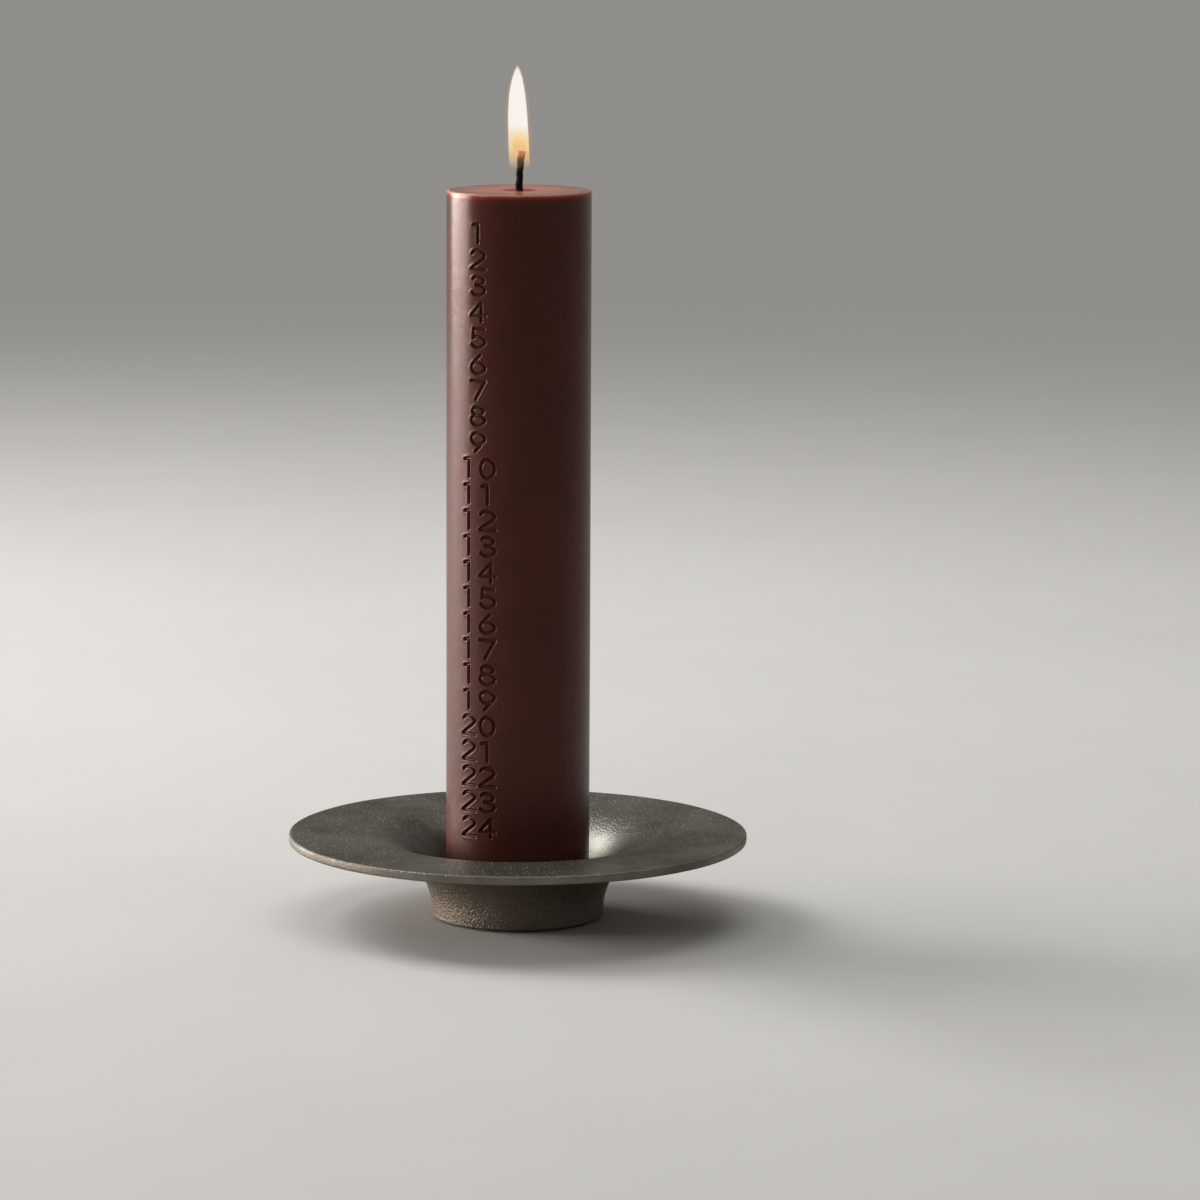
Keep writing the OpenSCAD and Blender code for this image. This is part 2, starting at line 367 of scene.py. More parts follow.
castMetal = {
    "clouds": {"Size": 21.0, "Low": holder["darkMetal"], "High": holder["paleMetal"],
               "Fleck": holder["wornMetal"], "Fleck Size": 0.7, "Fleck Share": 0.55},
    "stains": {"Size": 46.0, "Low": holder["darkMetal"], "High": holder["greenMetal"],
               "Fleck": holder["darkMetal"], "Fleck Size": 3.0, "Fleck Share": 0.5},
    "rim": {"Radius": holder["radius"] - 0.4, "Level": dishTop - 0.3, "Width": 1.0, "Ragged": 0.8},
    "foot": {"Radius": holder["throatRadius"] + holder["wall"], "Level": holder["footBottom"] + 0.4,
             "Width": 2.2, "Ragged": 2.0},
    # where the painted shade in the well lies
    "well": {"Radius": holder["throatRadius"], "Level": 13.0, "Width": 25.0, "Ragged": 6.0},
    "skin": {"Size": 0.8, "Soft": 0.2, "Pits": 0.5},
    "grit": {"Size": 0.85, "Share": 0.42},
    "dents": {"Size": 9.0, "Soft": 0.5, "Pits": 0.1},
    # where each begins and is full, and the two values there if they aren't 0 and 1
    "underside": (0.12, -0.12),             # rise of the surface's normal
    "rimFace": (0.5, 0.2),
    "rimHeights": (dishTop - 4.0, dishTop - 2.5),
    "coarseHeights": (dishTop - 6.0, dishTop - 16.0, 0.4, 1.0),
    "smoothGrit": (0.0, 0.5, 1.0, 0.12),    # grit left on the rim's face and in the well, by their mask
    "footGrit": (0.0, 0.6, 1.0, 0.25),      # sparks left on the coarse foot, by its mask
    # how far each turns the colour
    "stainShare": 0.5,
    "footWear": 0.4,        # against the rim's
    "wornShare": 0.25,
    "wellShadeShare": 0.75,
    "pitShare": 0.35,
    "rimShare": 0.15,
    "coarseShare": 0.7,
    "sparkShare": 0.5,
    "metallic": 0.85,
    "tint": (0.78, 0.745, 0.71, 1.0),
    "roughness": (0.39, 0.30),              # of dark and pale clouds
    "wornRoughness": 0.16,
    "coarseRoughness": 0.06,
    "rimRoughness": 0.12,
    "dentDepth": 0.05,      # mm, like the depths below
    "skinDepth": 0.02,
    "coarseSkinDepth": 0.16,
    "gritDepth": 0.15,
    "sparkDepth": 0.13,     # how far the few picked grains stand out
}


def makeCastMetal():
    metal = castMetal
    material, tree, shader, place = newMaterial("castMetal")
    clouds = useGroup(tree, mottle, place, metal["clouds"])
    stains = useGroup(tree, mottle, place, metal["stains"])
    colour = blendColour(tree, metal["stainShare"], clouds["Colour"], stains["Colour"])
    # handled edges: the rim, and a little where the foot meets the floor
    rim = useGroup(tree, ring, place, metal["rim"])["Mask"]
    foot = useGroup(tree, ring, place, metal["foot"])["Mask"]
    worn = calc(tree, "MAXIMUM", rim, calc(tree, "MULTIPLY", foot, metal["footWear"]))
    colour = tinted(tree, colour, worn, metal["wornShare"], holder["wornMetal"])
    # painted shade: the well round the candle is darkened
    well = useGroup(tree, ring, place, metal["well"])["Mask"]
    colour = tinted(tree, colour, well, metal["wellShadeShare"], holder["shadedMetal"])
    # the pits are darker
    skin = useGroup(tree, grain, place, metal["skin"])
    colour = tinted(tree, colour, skin["Pit"], metal["pitShare"], holder["darkMetal"])
    # the foot and the underside keep the mould's grain, the dish was tumbled smoother
    height = heightInMm(tree, place)
    up = heightOf(tree, put(tree, "ShaderNodeTexCoord").outputs["Normal"])
    edge = calc(tree, "MULTIPLY", between(tree, up, *metal["rimFace"]),
                between(tree, height, *metal["rimHeights"]))
    colour = tinted(tree, colour, edge, metal["rimShare"], holder["wornMetal"])
    coarse = calc(tree, "MULTIPLY", between(tree, up, *metal["underside"]),
                  between(tree, height, *metal["coarseHeights"]))
    colour = tinted(tree, colour, coarse, metal["coarseShare"], holder["footMetal"])
    # painted glints: a few picked grains are paler, and they also stand out a little in the relief below
    grains = useGroup(tree, grit, place, metal["grit"])
    smoothed = between(tree, calc(tree, "MAXIMUM", edge, well), *metal["smoothGrit"])
    spark = calc(tree, "MULTIPLY", grains["Glint"], smoothed)
    spark = calc(tree, "MULTIPLY", spark, between(tree, coarse, *metal["footGrit"]))
    colour = tinted(tree, colour, spark, metal["sparkShare"], holder["paintedGlint"])
    rough = between(tree, clouds["Cloud"], 0.0, 1.0, *metal["roughness"])
    rough = raised(tree, rough, worn, metal["wornRoughness"])
    rough = raised(tree, rough, coarse, metal["coarseRoughness"])
    rough = raised(tree, rough, edge, metal["rimRoughness"])
    feed(tree, shader, {"Base Color": colour, "Roughness": rough, "Metallic": metal["metallic"],
                        "Specular Tint": metal["tint"]})
    # three reliefs, one over the other: slow dents, the skin, the grains
    dents = useGroup(tree, grain, place, metal["dents"])
    depth = between(tree, coarse, 0.0, 1.0, metal["skinDepth"] / metal["coarseSkinDepth"], 1.0)
    relief = calc(tree, "MULTIPLY", skin["Height"], depth)
    standing = calc(tree, "MULTIPLY", grains["Height"], smoothed)
    standing = raised(tree, standing, spark, metal["sparkDepth"] / metal["gritDepth"])
    normal = addBump(tree, shader, dents["Height"], metal["dentDepth"])
    normal = addBump(tree, shader, relief, metal["coarseSkinDepth"], under=normal)
    addBump(tree, shader, standing, metal["gritDepth"], under=normal)
    return material


def makeHolder():
    size = holder
    rise = math.radians(size["rise"])
    radius, flare, wall = size["radius"], size["flareRadius"], size["wall"]
    floor, corner = size["floorHeight"], size["cornerRadius"]
    foot, footRound = size["footBottom"], size["footRound"]
    centreX = size["throatRadius"] + flare
    centreZ = dishTop - (radius - centreX + flare * math.sin(rise)) * math.tan(rise) - flare * math.cos(rise)
    reach = flare + corner
    cornerTurn = math.degrees(math.asin((floor + corner - centreZ) / reach))
    cornerX = centreX - reach * math.cos(math.radians(cornerTurn))
    underRadius = flare - wall
    footRadius = centreX - underRadius
    bm = drawOutline((0, floor), [
        (cornerX, floor, 12),
        (cornerX, floor + corner, 90 - cornerTurn, 6),
        (centreX, centreZ, -(90 - cornerTurn - size["rise"]), 40),
        (radius, dishTop, 18),
        (radius, dishTop - wall / math.cos(rise), 2),
        (centreX - underRadius * math.sin(rise), centreZ + underRadius * math.cos(rise), 16),
        (centreX, centreZ, 90 - size["rise"], 36),
        (footRadius, foot + footRound, 1),
        (footRadius - footRound, foot + footRound, -90, 6),
        (size["recessRadius"], foot, 3),
        (size["recessRadius"], size["recessTop"], 2),
        (0, size["recessTop"], 10),
    ])
    corners = [vert for vert in bm.verts if abs(vert.co.x - radius) < hair
               and abs(vert.co.z - dishTop + wall / 2) > wall / 4]
    bmesh.ops.bevel(bm, geom=corners, offset=size["rimRound"], offset_type="OFFSET", affect="VERTICES",
                    segments=6, profile=0.5, material=-1)
    turnOutline(bm, size["turnSteps"])
    bm.normal_update()
    for vert in bm.verts:
        slow = noise.noise(vert.co / size["waveLength"]) * size["unevenness"]
        small = noise.noise(vert.co / size["lumpLength"]) * size["lumps"]
        if vert.co.z > foot + size["flatBand"]:
            vert.co += vert.normal * (slow + small)
    piece = finishPiece(bm, "holderCasting", makeCastMetal(), "holder", "holder_casting")
    sharpen(piece, size["crispEdge"])
    return piece


# felt under the foot

felt = {
    "radius": 25.6,
    "thickness": 2.0,
    "edgeRound": 0.35,
    "turnSteps": 180,
    "cutBand": 0.3,         # mm of the edge that the cut has left uneven
    "cutWander": 0.004,     # share of the radius
    "cutLength": 2.5,
    "nap": 0.04,            # mm that the wool below rises and falls
    "napLength": 6.0,
    "crispEdge": 60.0,
    "wool": {"Size": 5.0, "Low": paint(42, 42, 43), "High": paint(70, 69, 67),
             "Fleck": paint(112, 110, 107), "Fleck Size": 0.35, "Fleck Share": 0.5},
    "fibres": {"Size": 0.4, "Soft": 0.4, "Pits": 0.3},
    "fibreDepth": 0.2,
    "roughness": 0.95,
    "sheen": 0.35,
}


def makeFeltMaterial():
    material, tree, shader, place = newMaterial("feltWool")
    feed(tree, shader, {"Base Color": useGroup(tree, mottle, place, felt["wool"])["Colour"],
                        "Roughness": felt["roughness"], "Sheen Weight": felt["sheen"]})
    addBump(tree, shader, useGroup(tree, grain, place, felt["fibres"])["Height"], felt["fibreDepth"])
    return material


def makeFelt():
    size = felt
    edge, top = size["edgeRound"], size["thickness"]
    bm = drawOutline((0, 0), [
        (size["radius"] - edge, 0, 14),
        (size["radius"] - edge, edge, 90, 4),
        (size["radius"], top - edge, 3),
        (size["radius"] - edge, top - edge, 90, 4),
        (0, top, 14),
    ])
    turnOutline(bm, size["turnSteps"])
    for vert in bm.verts:
        radius = vert.co.xy.length
        if radius > size["radius"] - size["cutBand"]:
            vert.co.xy *= 1 - size["cutWander"] * (1 + noise.noise(vert.co / size["cutLength"]))
        if vert.co.z < size["nap"] + slack and radius > 1:      # all but the pole in the middle
            vert.co.z += size["nap"] * (1 + noise.noise(vert.co / size["napLength"]))
    piece = finishPiece(bm, "feltPad", makeFeltMaterial(), "holder", "felt_pad")
    sharpen(piece, size["crispEdge"])
    return piece


# wax pillar and its pressed numerals

pillar = {
    "radius": 25.0,
    "topRound": 0.7,
    "bottomRound": 1.0,
    "boreRadius": 1.05,
    "poolRadius": 5.7,
    "poolDepth": 1.2,
    "clipRadius": 10.1,
    "clipRecess": 0.8,
    "neckRadius": 1.55,
    "neckHeight": 6.4,
    "turnSteps": 120,
    "crispEdge": 70.0,      # degrees
    "sideBand": 0.2,        # mm, what is no further in than this is the upright side
    "endBand": 2.0,         # mm of the side at each end that stay plain
    "unevenness": 0.05,     # mm, slow waves left by the mould
    "waveWidth": 22.0,
    "waveHeight": 60.0,
    "rimWear": 0.09,        # mm, knocks along the top edge
    "rimBand": 1.2,
    "knockLength": 3.1,
    "sag": 0.14,            # mm, how far the top sinks towards the melted hollow
    "sagReach": 9.0,
    "dimples": 0.02,
    "dimpleLength": 5.0,
    "wax": paint(84, 35, 27),
    "deepWax": paint(72, 29, 22),
    "bloom": paint(122, 72, 60),
    "topWax": paint(116, 72, 62),
    "paleTopWax": paint(142, 97, 86),
    "flameLitWax": paint(222, 118, 76),
    "rimGlow": paint(168, 48, 24),
    "rimHighlight": paint(190, 134, 116),
    "wetWax": paint(108, 28, 14),
    "cutWax": paint(56, 20, 14),
}

calendarWax = {
    "body": {"Size": 24.0, "Low": pillar["deepWax"], "High": pillar["wax"],
             "Fleck": pillar["bloom"], "Fleck Size": 1.3, "Fleck Share": 0.08},
    "face": {"Size": 9.0, "Low": pillar["topWax"], "High": pillar["paleTopWax"],
             "Fleck": pillar["bloom"], "Fleck Size": 1.2, "Fleck Share": 0.2},
    "lit": {"Radius": 7.0, "Level": waxTop, "Width": 17.0, "Ragged": 3.0},
    "rim": {"Radius": pillar["radius"] - 0.4, "Level": waxTop - 0.3, "Width": 0.9, "Ragged": 0.7},
    "wet": {"Radius": 0.0, "Level": waxTop - 0.4, "Width": 12.0, "Ragged": 1.2},
    "waves": {"Size": 9.0, "Soft": 0.5, "Pits": 0.1},
    "skin": {"Size": 1.1, "Soft": 0.4, "Pits": 0.3},
    # two heights, and the two values there if they aren't 0 and 1
    "farGlow": (waxTop - 5.0, waxTop - 1.4, 0.0, 0.08),
    "nearGlow": (waxTop - 2.1, waxTop - 0.8, 0.0, 0.85),
    "faceEdge": (waxTop - 0.75, waxTop - 0.35),
    "dullness": (waxTop - 5.0, waxTop - 160.0, 0.0, 0.12),
    "liveliness": (waxTop - 110.0, waxFoot + 50.0, 1.0, 2.8),
    # where in its mask each begins and is full
    "lineEdges": (0.1, 0.55),
    "wetEdges": (0.40, 0.55),
    # how far each turns the colour
    "cutShare": 0.5,
    "litShare": 0.7,
    "lineShare": 0.75,
    "roughness": (0.265, 0.245),    # of deep and plain wax
    "cutRoughness": 0.02,
    "wetRoughness": -0.2,
    "scatter": 0.25,
    "scatterRadius": (1.0, 0.35, 0.2),
    "scatterScale": 0.0016,
    "ior": 1.45,
    "tint": (1.0, 0.7, 0.6, 1.0),
    "waveDepth": 0.045,     # mm
    "meltedLevel": 0.15,    # how much of the waves is left on the top
    "skinDepth": 0.006,
}

numerals = {
    "lastDay": 24,
    "height": 7.6,
    "width": 7.0,
    "stroke": 1.15,
    "depth": 0.8,
    "gap": 0.7,
    "firstDrop": 9.5,       # from the top of the wax
    "lastRise": 27.0,       # from the bottom of the wax
    "flatShare": 0.4,       # of the half stroke that is flat floor
    "shoulder": 0.1,        # mm that the soft edge runs past the stroke
    "lip": 0.05,            # mm of wax that the stamp pushed up
    "lipWidth": 0.5,
    "lipUneven": 0.6,       # share of its height that the lip varies by
    "lipLength": 1.6,
    "halvings": 3,          # how often the wax's grid is halved near a stroke
    "search": 4.0,          # mm round a stroke that is looked at
    "margin": 0.75,         # of a face's longest edge
    "stripRise": 25.5,      # the strip with the fine grid, from the bottom of the wax
    "stripDrop": 8.0,       # and from its top
}


def bow(x, y, rx, ry, start, end):
    # part of an oval, in degrees
    parts = math.ceil(abs(end - start) / 15)
    turns = [math.radians(start + (end - start) * i / parts) for i in range(parts + 1)]
    return [(x + rx * math.cos(turn), y + ry * math.sin(turn)) for turn in turns]


# centre lines: x from -1 to 1 across the numeral, y from 0 at its foot to 1 at its head
centreLines = {
    0: [bow(0, 0.5, 0.9, 0.5, 0, 360)],
    1: [[(0, 0), (0, 1)], [(-0.72, 0.93), (0, 1)]],
    2: [bow(0, 0.73, 0.92, 0.27, 160, -42) + [(-1, 0), (1, 0)]],
    3: [bow(0, 0.77, 0.8, 0.23, 155, -90) + [(-0.3, 0.54)], bow(0, 0.27, 0.95, 0.27, 100, -155)],
    4: [[(0.45, 0), (0.45, 1), (-1, 0.3), (1, 0.3)]],
    5: [[(0.85, 1), (-0.6, 1), (-0.7, 0.5)], bow(0, 0.3, 0.95, 0.3, 138, -155)],
    6: [[(-0.78, 0.49), (0.35, 1)], bow(0, 0.31, 0.95, 0.31, 0, 360)],
    7: [[(-1, 1), (1, 1), (-0.3, 0)]],
    8: [bow(0, 0.28, 0.95, 0.28, 0, 360), bow(0, 0.77, 0.78, 0.23, 0, 360)],
    9: [[(0.78, 0.51), (-0.35, 0)], bow(0, 0.69, 0.95, 0.31, 0, 360)],
}


def rowStrokes(day):
    # the strokes of one day's row on the unrolled wax: across and height in mm
    size = numerals
    pitch = (waxTop - waxFoot - size["firstDrop"] - size["lastRise"] - size["height"]) / (size["lastDay"] - 1)
    foot = waxTop - size["firstDrop"] - size["height"] - (day - 1) * pitch
    halfStroke = size["stroke"] / 2
    halfWidth = size["width"] / 2 - halfStroke
    rise = size["height"] - size["stroke"]
    shift = (size["width"] + size["gap"]) / 2
    columns = [(day, 0)] if day < 10 else [(day // 10, -shift), (day % 10, shift)]
    strokes = []
    for digit, middle in columns:
        for line in centreLines[digit]:
            points = [(middle + x * halfWidth, foot + halfStroke + y * rise) for x, y in line]
            strokes += list(zip(points[:-1], points[1:]))
    return foot, np.array(strokes)


def awayFromStrokes(across, height, reach):
    # distance of each point to the nearest centre line, or reach where none is that near
    found = np.full(len(across), float(reach))
    for day in range(1, numerals["lastDay"] + 1):
        foot, strokes = rowStrokes(day)
        inRow = (height > foot - reach) & (height < foot + numerals["height"] + reach)
        if not inRow.any():
            continue
        points = np.stack([across[inRow], height[inRow]], axis=1)[:, None, :]
        start, along = strokes[:, 0], strokes[:, 1] - strokes[:, 0]
        share = ((points - start) * along).sum(2) / (along ** 2).sum(1)
        nearest = start + np.clip(share, 0, 1)[:, :, None] * along
        away = np.linalg.norm(points - nearest, axis=2).min(1)
        found[inRow] = np.minimum(found[inRow], away)
    return found


def unroll(points):
    # across the front in mm from the middle of the column, and height
    return np.arctan2(points[:, 0], -points[:, 1]) * pillar["radius"], points[:, 2]


def smooth(share):
    share = np.clip(share, 0, 1)
    return share * share * (3 - 2 * share)


def onSide(vert):
    # on the upright side of the wax, clear of both its rounded edges
    return (vert.co.xy.length > pillar["radius"] - pillar["sideBand"]
            and waxFoot + pillar["endBand"] < vert.co.z < waxTop - pillar["endBand"])


def cutFiner(bm):
    # the plain grid of the wax is halved again and again where strokes are near
    reach = numerals["stroke"] / 2 + numerals["shoulder"] + numerals["lipWidth"] / 2
    for halving in range(numerals["halvings"]):
        sides = [face for face in bm.faces
                 if face.calc_center_median().xy.length > pillar["radius"] - pillar["sideBand"]
                 and abs(face.normal.z) < 0.1]      # upright, so not on the rounded edges
        centres = np.array([face.calc_center_median() for face in sides])
        spans = np.array([max(edge.calc_length() for edge in face.edges) for face in sides])
        across, height = unroll(centres)
        away = awayFromStrokes(across, height, numerals["search"])
        near = [face for face, isNear in zip(sides, away < reach + spans * numerals["margin"]) if isNear]
        edges = list(dict.fromkeys(edge for face in near for edge in face.edges))
        bmesh.ops.subdivide_edges(bm, edges=edges, cuts=1, use_grid_fill=True, use_single_edge=True)
        for vert in bm.verts:
            if onSide(vert):
                vert.co.xy *= pillar["radius"] / vert.co.xy.length


def pressNumerals(bm):
    # pushes the strokes in, with a soft edge and a slight lip, and marks them for the material
    size = numerals
    mark = bm.verts.layers.float.new("cut")
    sides = [vert for vert in bm.verts if onSide(vert)]
    across, height = unroll(np.array([vert.co for vert in sides]))
    away = awayFromStrokes(across, height, size["search"] / 2)
    half = size["stroke"] / 2
    floorEdge = half * size["flatShare"]
    cut = 1 - smooth((away - floorEdge) / (half + size["shoulder"] - floorEdge))
    lip = np.exp(-((away - half - size["shoulder"] - size["lipWidth"] / 2) / (size["lipWidth"] / 2)) ** 2)
    wide, tall = pillar["waveWidth"], pillar["waveHeight"]
    for vert, share, lift in zip(sides, cut, lip):
        slow = noise.noise(Vector((vert.co.x / wide, vert.co.y / wide, vert.co.z / tall)))
        uneven = 1 + size["lipUneven"] * noise.noise(vert.co / size["lipLength"])
        radius = (pillar["radius"] - size["depth"] * share + size["lip"] * lift * uneven
                  + slow * pillar["unevenness"])
        vert.co.xy *= radius / vert.co.xy.length
        vert[mark] = share


def wearTop(bm):
    # the top sinks a little towards the hollow, and its edge is knocked here and there
    size = pillar
    for vert in bm.verts:
        radius = vert.co.xy.length
        if vert.co.z > waxTop - size["topRound"] - slack and radius > size["poolRadius"] - slack:
            inward = max(0, 1 - (radius - size["poolRadius"]) / size["sagReach"])
            dimple = size["dimples"] * (1 + noise.noise(vert.co / size["dimpleLength"]))
            vert.co.z -= size["sag"] * inward ** 2 + dimple
            if radius > size["radius"] - size["rimBand"]:
                knock = max(0, noise.noise(vert.co / size["knockLength"])) * size["rimWear"]
                vert.co.z -= knock
                vert.co.xy *= 1 - knock / size["radius"]


def makeWaxMaterial():
    size = pillar
    wax = calendarWax
    material, tree, shader, place = newMaterial("calendarWax")
    body = useGroup(tree, mottle, place, wax["body"])
    height = heightInMm(tree, place)
    # pressed strokes are a little darker
    cut = put(tree, "ShaderNodeAttribute", attribute_name="cut").outputs["Fac"]
    colour = tinted(tree, body["Colour"], cut, wax["cutShare"], size["cutWax"])
    # painted glow: warm wax near the flame lets light through just under the rim
    glow = calc(tree, "ADD", between(tree, height, *wax["farGlow"]), between(tree, height, *wax["nearGlow"]))
    colour = blendColour(tree, glow, colour, size["rimGlow"])
    # painted light: the flame shines into the wax of the top, warming it round the wick
    lit = useGroup(tree, ring, place, wax["lit"])["Mask"]
    face = useGroup(tree, mottle, place, wax["face"])["Colour"]
    top = between(tree, height, *wax["faceEdge"])
    colour = blendColour(tree, top, colour, tinted(tree, face, lit, wax["litShare"], size["flameLitWax"]))
    # painted highlight along the rounded top edge of the wax
    rim = between(tree, useGroup(tree, ring, place, wax["rim"])["Mask"], *wax["lineEdges"])
    colour = tinted(tree, colour, rim, wax["lineShare"], size["rimHighlight"])
    wet = between(tree, useGroup(tree, ring, place, wax["wet"])["Mask"], *wax["wetEdges"])
    colour = blendColour(tree, wet, colour, size["wetWax"])
    # duller towards the foot, where it is handled
    rough = calc(tree, "ADD", between(tree, body["Cloud"], 0.0, 1.0, *wax["roughness"]),
                 between(tree, height, *wax["dullness"]))
    rough = raised(tree, rough, cut, wax["cutRoughness"])
    rough = raised(tree, rough, wet, wax["wetRoughness"])
    feed(tree, shader, {"Base Color": colour, "Roughness": rough, "IOR": wax["ior"],
                        "Specular Tint": wax["tint"], "Subsurface Weight": wax["scatter"],
                        "Subsurface Radius": wax["scatterRadius"], "Subsurface Scale": wax["scatterScale"]})
    # the lower half came less evenly out of the mould, the top has melted level
    waves = useGroup(tree, grain, place, wax["waves"])["Height"]
    still = calc(tree, "MULTIPLY", between(tree, top, 0.0, 1.0, 1.0, wax["meltedLevel"]),
                 between(tree, height, *wax["liveliness"]))
    normal = addBump(tree, shader, calc(tree, "MULTIPLY", waves, still), wax["waveDepth"])
    addBump(tree, shader, useGroup(tree, grain, place, wax["skin"])["Height"], wax["skinDepth"], under=normal)
    return material


def hollowRadius():
    # of the ball that would fit the melted hollow
    wide, deep = pillar["poolRadius"], pillar["poolDepth"]
    return (wide ** 2 + deep ** 2) / (2 * deep)


def makePillar():
    size = pillar
    radius, top, bottom = size["radius"], size["topRound"], size["bottomRound"]
    neckTop, recessTop = waxFoot + size["neckHeight"], waxFoot + size["clipRecess"]
    ballRadius = hollowRadius()
    rimTurn = math.degrees(math.asin(size["poolRadius"] / ballRadius))
    boreTurn = math.degrees(math.asin(size["boreRadius"] / ballRadius))
    stripFoot, stripHead = waxFoot + numerals["stripRise"], waxTop - numerals["stripDrop"]
    gridStep = math.tau * radius / size["turnSteps"]
    bm = drawOutline((size["clipRadius"], waxFoot), [
        (radius - bottom, waxFoot, 6),
        (radius - bottom, waxFoot + bottom, 90, 5),
        (radius, stripFoot, 12),
        (radius, stripHead, round((stripHead - stripFoot) / gridStep)),
        (radius, waxTop - top, 5),
        (radius - top, waxTop - top, 90, 6),
        (size["poolRadius"], waxTop, 18),
        (0, waxTop - size["poolDepth"] + ballRadius, boreTurn - rimTurn, 8),
        (size["boreRadius"], neckTop, 4),
        (size["neckRadius"], neckTop, 1),
        (size["neckRadius"], recessTop, 2),
        (size["clipRadius"], recessTop, 4),
        (size["clipRadius"], waxFoot, 1),
    ])
    turnOutline(bm, size["turnSteps"])
    bm.normal_update()
    cutFiner(bm)
    pressNumerals(bm)
    wearTop(bm)
    piece = finishPiece(bm, "waxPillar", makeWaxMaterial(), "candle", "wax_pillar")
    sharpen(piece, size["crispEdge"])
    return piece


# wick, from the clip to its burnt tip

wick = {
    "radius": 1.0,
    "foot": 0.3,            # above the bottom of the wax
    "poolDrop": 0.35,
    "rise": 13.4,
    "lean": 0.95,
    "leanTurn": 34.0,
    "sides": 28,
    "straightParts": 24,
    "bentParts": 56,
    "strands": 3,
    "braidPitch": 4.2,
    "braidDepth": 0.11,
    "strandLevel": 0.6,     # of a strand's swell, what the braid's depth is measured from
    "swollen": 1.26,        # times as thick where it is burnt
    "pinch": 0.12,          # and thinner again halfway up
    "char": 0.05,           # share of the radius
    "ragged": 0.08,
    "raggedLength": 0.6,
    "charFade": 0.5,        # mm below the liquid where the char begins
    "frayBand": 0.4,        # mm at the tip
    "fray": 0.25,
    "frayLength": 0.5,
    "frayDrop": 0.2,
    "charred": {"Size": 1.6, "Low": paint(9, 7, 7), "High": paint(30, 25, 23),
                "Fleck": paint(40, 34, 31), "Fleck Size": 0.25, "Fleck Share": 0.45},
    "ember": {"Size": 0.9, "Low": paint(160, 62, 12), "High": paint(214, 96, 22),
              "Fleck": paint(255, 150, 56), "Fleck Size": 0.4, "Fleck Share": 0.5},
    "emberEdges": (3.2, 0.6),       # mm below the tip where it begins to glow and glows fully
    "fibres": {"Size": 0.3, "Soft": 0.4, "Pits": 0.5},
    "fibreDepth": 0.1,
    "roughness": 0.8,
    "specular": 0.15,
}


def makeCharMaterial():
    size = wick
    material, tree, shader, place = newMaterial("charredCotton")
    tip = waxTop + size["rise"]
    hot = between(tree, heightInMm(tree, place), *[tip - drop for drop in size["emberEdges"]])
    flicker = useGroup(tree, mottle, place, size["ember"])["Colour"]
    feed(tree, shader, {"Base Color": useGroup(tree, mottle, place, size["charred"])["Colour"],
                        "Roughness": size["roughness"], "Specular IOR Level": size["specular"],
                        "Emission Color": blendColour(tree, hot, (0, 0, 0, 1), flicker),
                        "Emission Strength": 1.0})
    addBump(tree, shader, useGroup(tree, grain, place, size["fibres"])["Height"], size["fibreDepth"])
    return material


def makeWick():
    size = wick
    bm = bmesh.new()
    bmesh.ops.create_circle(bm, cap_ends=False, radius=size["radius"], segments=size["sides"])
    bmesh.ops.translate(bm, verts=bm.verts[:], vec=(0, 0, waxFoot + size["foot"]))
    ringEdges = bm.edges[:]
    liquid = waxTop - size["poolDrop"]
    # straight through the wax
    step = (liquid - waxFoot - size["foot"]) / size["straightParts"]
    for _ in range(size["straightParts"]):
        drawn = bmesh.ops.extrude_edge_only(bm, edges=ringEdges)
        ringEdges = [part for part in drawn["geom"] if isinstance(part, bmesh.types.BMEdge)]
        ringVerts = [part for part in drawn["geom"] if isinstance(part, bmesh.types.BMVert)]
        bmesh.ops.translate(bm, verts=ringVerts, vec=(0, 0, step))
    # then over to one side along an arc
    bendHeight = size["rise"] + size["poolDrop"]
    bendRadius = (bendHeight ** 2 + size["lean"] ** 2) / (2 * size["lean"])
    turn = math.radians(size["leanTurn"])
    side = Vector((math.cos(turn), math.sin(turn), 0))
    centre = side * bendRadius + Vector((0, 0, liquid))
    bmesh.ops.spin(bm, geom=ringEdges, cent=centre, axis=Vector((0, 0, 1)).cross(side),
                   angle=math.asin(bendHeight / bendRadius), steps=size["bentParts"])
    bmesh.ops.remove_doubles(bm, verts=bm.verts[:], dist=hair)
    bmesh.ops.holes_fill(bm, edges=[edge for edge in bm.edges if edge.is_boundary], sides=0)
    bmesh.ops.recalc_face_normals(bm, faces=bm.faces[:])
    # the burnt part swells, frays and shows its braid
    half = size["strands"] / 2
    for vert in bm.verts:
        up = vert.co.z - liquid
        if up < -size["charFade"]:
            continue
        lean = bendRadius - math.sqrt(max(0, bendRadius ** 2 - max(0, up) ** 2))
        middle = Vector((side.x * lean, side.y * lean))
        spoke = vert.co.xy - middle
        angle = math.atan2(spoke.y, spoke.x)
        twist = math.tau * up / size["braidPitch"]
        strand = max(math.cos(half * (angle + twist / half)), math.cos(half * (angle - twist / half)))
        burnt = size["swollen"] - size["pinch"] * math.sin(math.pi * min(1, max(0, up / bendHeight)))
        swell = size["char"] + size["braidDepth"] * (strand - size["strandLevel"])
        ragged = size["ragged"] * noise.noise(vert.co / size["raggedLength"])
        fade = min(1, (up + size["charFade"]) / size["charFade"])
        vert.co.xy = middle + spoke * (1 + fade * (burnt * (1 + swell + ragged) - 1))
        if up > bendHeight - size["frayBand"]:
            vert.co.z += size["fray"] * noise.noise(vert.co / size["frayLength"]) - size["frayDrop"]
    return finishPiece(bm, "burntWick", makeCharMaterial(), "candle", "wick")


# tinplate clip, kept from the CAD model

